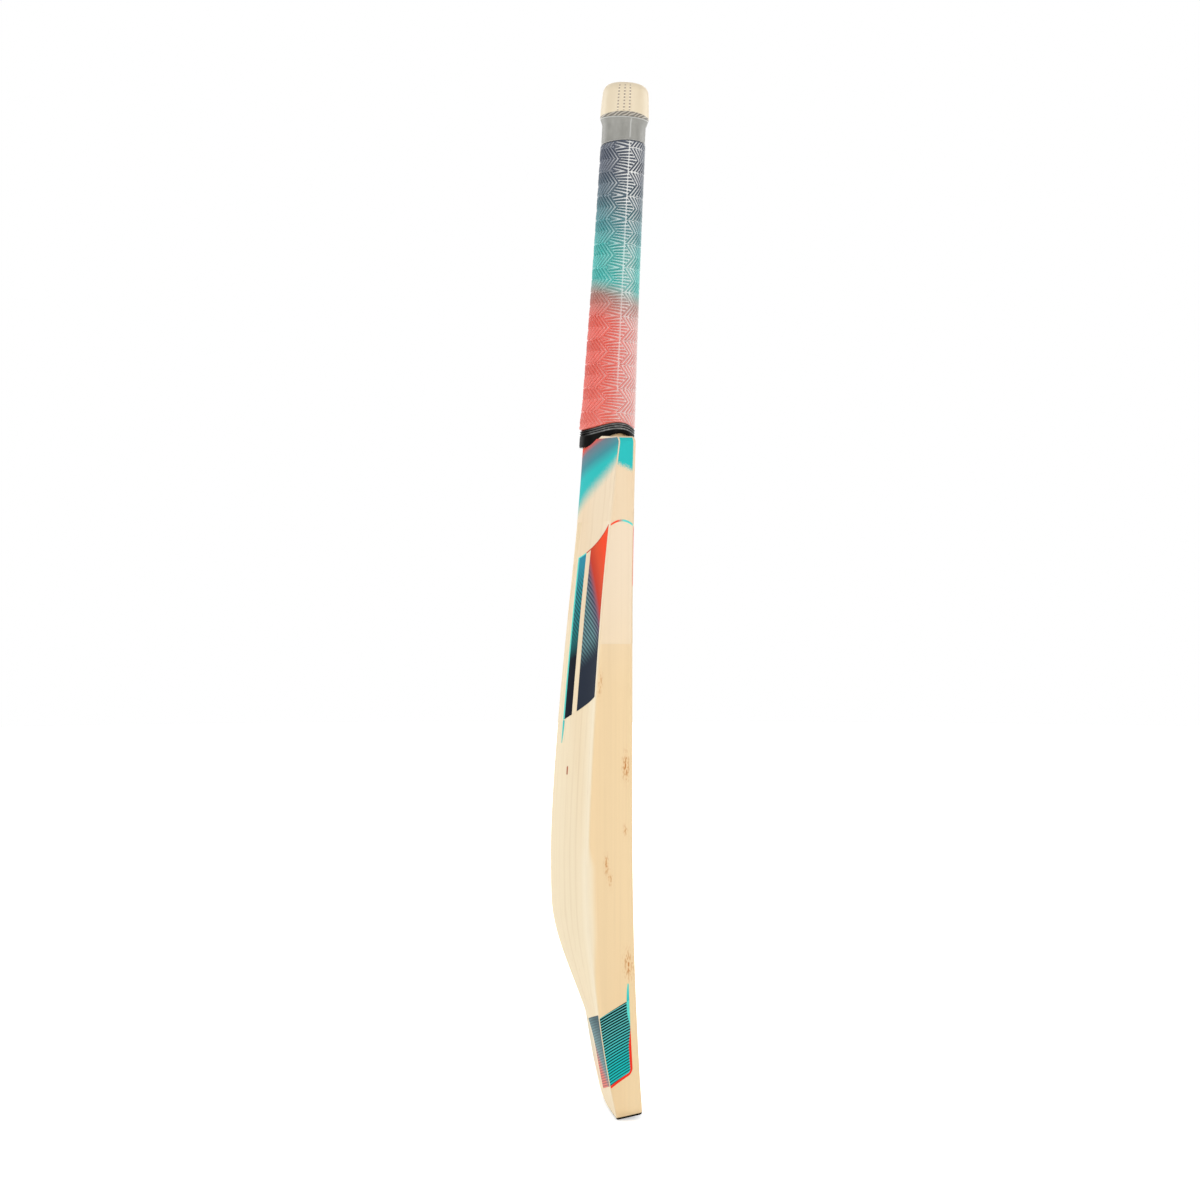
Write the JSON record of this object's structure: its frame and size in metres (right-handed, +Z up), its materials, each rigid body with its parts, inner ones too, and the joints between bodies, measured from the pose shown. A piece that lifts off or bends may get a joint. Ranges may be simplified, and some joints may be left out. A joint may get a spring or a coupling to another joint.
{
  "type": "cricket bat",
  "caption": "Full-size short-handle cricket bat: willow blade with a spine and bowed face, spliced cane handle under a ribbed rubber grip, collar band, vinyl labels and toe guard.",
  "frame": {"origin": "middle of the toe guard's sloping underside, under the middle of the blade", "axes": "+Z up the blade to the end of the handle, -Y out of the striking face, +Y out of the spine, X across the blade's width"},
  "size_m": [0.1092, 0.083, 0.8592],
  "materials": {
    "willow": "oiled and lightly polished willow",
    "cane": "sanded cane",
    "spring_rubber": "matte rubber sheet",
    "twine": "wound waxed thread",
    "grip_rubber": "ribbed rubber, blended from grey through teal to coral",
    "black_rubber": "satin rubber",
    "fade_vinyl": "printed vinyl sheet",
    "panel_vinyl": "printed vinyl sheet",
    "clear_vinyl": "clear vinyl sheet over wood"
  },
  "bodies": {
    "root": {"blade": "willow", "cane_front_left": "cane", "cane_front_middle": "cane", "cane_front_right": "cane", "cane_mid_front_left": "cane", "cane_mid_front_middle": "cane", "cane_mid_front_right": "cane", "cane_mid_back_left": "cane", "cane_mid_back_middle": "cane", "cane_mid_back_right": "cane", "cane_back_left": "cane", "cane_back_middle": "cane", "cane_back_right": "cane", "spring_front": "spring_rubber", "spring_middle": "spring_rubber", "spring_back": "spring_rubber", "twine_binding": "twine", "grip": "grip_rubber", "collar_band": "black_rubber", "toe_guard": "black_rubber", "label_shoulder_back": "fade_vinyl", "label_shoulder_edge_left": "fade_vinyl", "label_shoulder_edge_right": "fade_vinyl", "label_flank_left": "panel_vinyl", "label_flank_right": "panel_vinyl", "label_toe_back": "panel_vinyl", "label_toe_edge_left": "panel_vinyl", "label_toe_edge_right": "panel_vinyl", "label_face": "panel_vinyl", "label_edge_left": "clear_vinyl", "label_edge_right": "clear_vinyl"}
  },
  "joints": []
}
